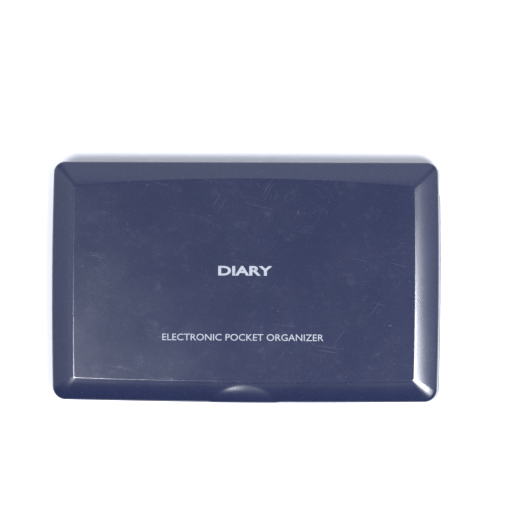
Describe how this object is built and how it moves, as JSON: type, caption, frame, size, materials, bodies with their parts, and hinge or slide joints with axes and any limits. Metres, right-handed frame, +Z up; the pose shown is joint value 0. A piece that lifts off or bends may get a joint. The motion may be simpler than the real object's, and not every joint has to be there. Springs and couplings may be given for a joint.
{
  "type": "personal digital assistant",
  "caption": "Closed clamshell pocket organiser with a bevelled lid, a rear hinge barrel, a rubber keyboard and a display inside.",
  "frame": {"origin": "on the ground under the middle of the closed case", "axes": "+Z up, +X along the longest side towards the user's right, +Y towards the hinge"},
  "size_m": [0.127, 0.0784, 0.014],
  "materials": {
    "navy_case": "fine textured",
    "grey_plate": "satin",
    "key_rubber": "matt",
    "foot_rubber": "matt",
    "board": "solder resist",
    "chip": "moulded",
    "sheet": "film",
    "steel": "plated",
    "contact_brass": "spring strip",
    "display_glass": "liquid crystal panel",
    "clear_window": "clear acrylic",
    "ribbon": "film"
  },
  "bodies": {
    "base": {"bottom_case": "navy_case", "keyboard_bezel": "grey_plate", "main_board": "board", "board_chips": "chip", "keypad_sheet": "sheet", "main_cells": "steel", "backup_cell": "steel", "cell_contacts": "contact_brass", "hinge_barrel": "navy_case", "hinge_pins": "steel", "hinge_flex": "ribbon", "case_screws": "steel", "rubber_feet": "foot_rubber", "buzzer": "contact_brass", "data_jack": "chip"},
    "lid": {"lid_shell": "navy_case", "display_bezel": "grey_plate", "display_window": "clear_window", "lcd_panel": "display_glass", "display_board": "board", "lid_screws": "steel"},
    "battery_door": {"battery_door": "navy_case"},
    "reset_button": {"reset_button": "chip"},
    "mode_key_phone": {"mode_key_phone": "key_rubber"},
    "mode_key_memo": {"mode_key_memo": "key_rubber"},
    "mode_key_diary": {"mode_key_diary": "key_rubber"},
    "mode_key_calculator": {"mode_key_calculator": "key_rubber"},
    "key_q": {"key_q": "key_rubber"},
    "key_w": {"key_w": "key_rubber"},
    "key_e": {"key_e": "key_rubber"},
    "key_r": {"key_r": "key_rubber"},
    "key_t": {"key_t": "key_rubber"},
    "key_y": {"key_y": "key_rubber"},
    "key_u": {"key_u": "key_rubber"},
    "key_i": {"key_i": "key_rubber"},
    "key_o": {"key_o": "key_rubber"},
    "key_p": {"key_p": "key_rubber"},
    "key_a": {"key_a": "key_rubber"},
    "key_s": {"key_s": "key_rubber"},
    "key_d": {"key_d": "key_rubber"},
    "key_f": {"key_f": "key_rubber"},
    "key_g": {"key_g": "key_rubber"},
    "key_h": {"key_h": "key_rubber"},
    "key_j": {"key_j": "key_rubber"},
    "key_k": {"key_k": "key_rubber"},
    "key_l": {"key_l": "key_rubber"},
    "key_z": {"key_z": "key_rubber"},
    "key_x": {"key_x": "key_rubber"},
    "key_c": {"key_c": "key_rubber"},
    "key_v": {"key_v": "key_rubber"},
    "key_b": {"key_b": "key_rubber"},
    "key_n": {"key_n": "key_rubber"},
    "key_m": {"key_m": "key_rubber"},
    "key_delete": {"key_delete": "key_rubber"},
    "key_left": {"key_left": "key_rubber"},
    "key_right": {"key_right": "key_rubber"},
    "key_enter": {"key_enter": "key_rubber"},
    "key_on": {"key_on": "key_rubber"},
    "key_shift": {"key_shift": "key_rubber"},
    "key_space": {"key_space": "key_rubber"}
  },
  "joints": [
    {"name": "lid_hinge", "type": "hinge", "parent": "base", "child": "lid", "pos_m": [0, 0.0354, 0.0074], "axis": [-1, 0, 0], "range_deg": [0, 180], "deforming": ["hinge_flex"]},
    {"name": "battery_door_release", "type": "slide", "parent": "base", "child": "battery_door", "axis": [0, 0, -1], "range_m": [0, 0.012]},
    {"name": "reset_press", "type": "slide", "parent": "base", "child": "reset_button", "axis": [0, 0, 1], "range_m": [0, 0.0005], "stiffness_N_per_m": 1200},
    {"name": "mode_key_phone_press", "type": "slide", "parent": "lid", "child": "mode_key_phone", "axis": [0, 0, 1], "range_m": [0, 0.0005], "stiffness_N_per_m": 1200},
    {"name": "mode_key_memo_press", "type": "slide", "parent": "lid", "child": "mode_key_memo", "axis": [0, 0, 1], "range_m": [0, 0.0005], "stiffness_N_per_m": 1200},
    {"name": "mode_key_diary_press", "type": "slide", "parent": "lid", "child": "mode_key_diary", "axis": [0, 0, 1], "range_m": [0, 0.0005], "stiffness_N_per_m": 1200},
    {"name": "mode_key_calculator_press", "type": "slide", "parent": "lid", "child": "mode_key_calculator", "axis": [0, 0, 1], "range_m": [0, 0.0005], "stiffness_N_per_m": 1200},
    {"name": "key_q_press", "type": "slide", "parent": "base", "child": "key_q", "axis": [0, 0, -1], "range_m": [0, 0.0005], "stiffness_N_per_m": 1200},
    {"name": "key_w_press", "type": "slide", "parent": "base", "child": "key_w", "axis": [0, 0, -1], "range_m": [0, 0.0005], "stiffness_N_per_m": 1200},
    {"name": "key_e_press", "type": "slide", "parent": "base", "child": "key_e", "axis": [0, 0, -1], "range_m": [0, 0.0005], "stiffness_N_per_m": 1200},
    {"name": "key_r_press", "type": "slide", "parent": "base", "child": "key_r", "axis": [0, 0, -1], "range_m": [0, 0.0005], "stiffness_N_per_m": 1200},
    {"name": "key_t_press", "type": "slide", "parent": "base", "child": "key_t", "axis": [0, 0, -1], "range_m": [0, 0.0005], "stiffness_N_per_m": 1200},
    {"name": "key_y_press", "type": "slide", "parent": "base", "child": "key_y", "axis": [0, 0, -1], "range_m": [0, 0.0005], "stiffness_N_per_m": 1200},
    {"name": "key_u_press", "type": "slide", "parent": "base", "child": "key_u", "axis": [0, 0, -1], "range_m": [0, 0.0005], "stiffness_N_per_m": 1200},
    {"name": "key_i_press", "type": "slide", "parent": "base", "child": "key_i", "axis": [0, 0, -1], "range_m": [0, 0.0005], "stiffness_N_per_m": 1200},
    {"name": "key_o_press", "type": "slide", "parent": "base", "child": "key_o", "axis": [0, 0, -1], "range_m": [0, 0.0005], "stiffness_N_per_m": 1200},
    {"name": "key_p_press", "type": "slide", "parent": "base", "child": "key_p", "axis": [0, 0, -1], "range_m": [0, 0.0005], "stiffness_N_per_m": 1200},
    {"name": "key_a_press", "type": "slide", "parent": "base", "child": "key_a", "axis": [0, 0, -1], "range_m": [0, 0.0005], "stiffness_N_per_m": 1200},
    {"name": "key_s_press", "type": "slide", "parent": "base", "child": "key_s", "axis": [0, 0, -1], "range_m": [0, 0.0005], "stiffness_N_per_m": 1200},
    {"name": "key_d_press", "type": "slide", "parent": "base", "child": "key_d", "axis": [0, 0, -1], "range_m": [0, 0.0005], "stiffness_N_per_m": 1200},
    {"name": "key_f_press", "type": "slide", "parent": "base", "child": "key_f", "axis": [0, 0, -1], "range_m": [0, 0.0005], "stiffness_N_per_m": 1200},
    {"name": "key_g_press", "type": "slide", "parent": "base", "child": "key_g", "axis": [0, 0, -1], "range_m": [0, 0.0005], "stiffness_N_per_m": 1200},
    {"name": "key_h_press", "type": "slide", "parent": "base", "child": "key_h", "axis": [0, 0, -1], "range_m": [0, 0.0005], "stiffness_N_per_m": 1200},
    {"name": "key_j_press", "type": "slide", "parent": "base", "child": "key_j", "axis": [0, 0, -1], "range_m": [0, 0.0005], "stiffness_N_per_m": 1200},
    {"name": "key_k_press", "type": "slide", "parent": "base", "child": "key_k", "axis": [0, 0, -1], "range_m": [0, 0.0005], "stiffness_N_per_m": 1200},
    {"name": "key_l_press", "type": "slide", "parent": "base", "child": "key_l", "axis": [0, 0, -1], "range_m": [0, 0.0005], "stiffness_N_per_m": 1200},
    {"name": "key_z_press", "type": "slide", "parent": "base", "child": "key_z", "axis": [0, 0, -1], "range_m": [0, 0.0005], "stiffness_N_per_m": 1200},
    {"name": "key_x_press", "type": "slide", "parent": "base", "child": "key_x", "axis": [0, 0, -1], "range_m": [0, 0.0005], "stiffness_N_per_m": 1200},
    {"name": "key_c_press", "type": "slide", "parent": "base", "child": "key_c", "axis": [0, 0, -1], "range_m": [0, 0.0005], "stiffness_N_per_m": 1200},
    {"name": "key_v_press", "type": "slide", "parent": "base", "child": "key_v", "axis": [0, 0, -1], "range_m": [0, 0.0005], "stiffness_N_per_m": 1200},
    {"name": "key_b_press", "type": "slide", "parent": "base", "child": "key_b", "axis": [0, 0, -1], "range_m": [0, 0.0005], "stiffness_N_per_m": 1200},
    {"name": "key_n_press", "type": "slide", "parent": "base", "child": "key_n", "axis": [0, 0, -1], "range_m": [0, 0.0005], "stiffness_N_per_m": 1200},
    {"name": "key_m_press", "type": "slide", "parent": "base", "child": "key_m", "axis": [0, 0, -1], "range_m": [0, 0.0005], "stiffness_N_per_m": 1200},
    {"name": "key_delete_press", "type": "slide", "parent": "base", "child": "key_delete", "axis": [0, 0, -1], "range_m": [0, 0.0005], "stiffness_N_per_m": 1200},
    {"name": "key_left_press", "type": "slide", "parent": "base", "child": "key_left", "axis": [0, 0, -1], "range_m": [0, 0.0005], "stiffness_N_per_m": 1200},
    {"name": "key_right_press", "type": "slide", "parent": "base", "child": "key_right", "axis": [0, 0, -1], "range_m": [0, 0.0005], "stiffness_N_per_m": 1200},
    {"name": "key_enter_press", "type": "slide", "parent": "base", "child": "key_enter", "axis": [0, 0, -1], "range_m": [0, 0.0005], "stiffness_N_per_m": 1200},
    {"name": "key_on_press", "type": "slide", "parent": "base", "child": "key_on", "axis": [0, 0, -1], "range_m": [0, 0.0005], "stiffness_N_per_m": 1200},
    {"name": "key_shift_press", "type": "slide", "parent": "base", "child": "key_shift", "axis": [0, 0, -1], "range_m": [0, 0.0005], "stiffness_N_per_m": 1200},
    {"name": "key_space_press", "type": "slide", "parent": "base", "child": "key_space", "axis": [0, 0, -1], "range_m": [0, 0.0005], "stiffness_N_per_m": 1200}
  ]
}
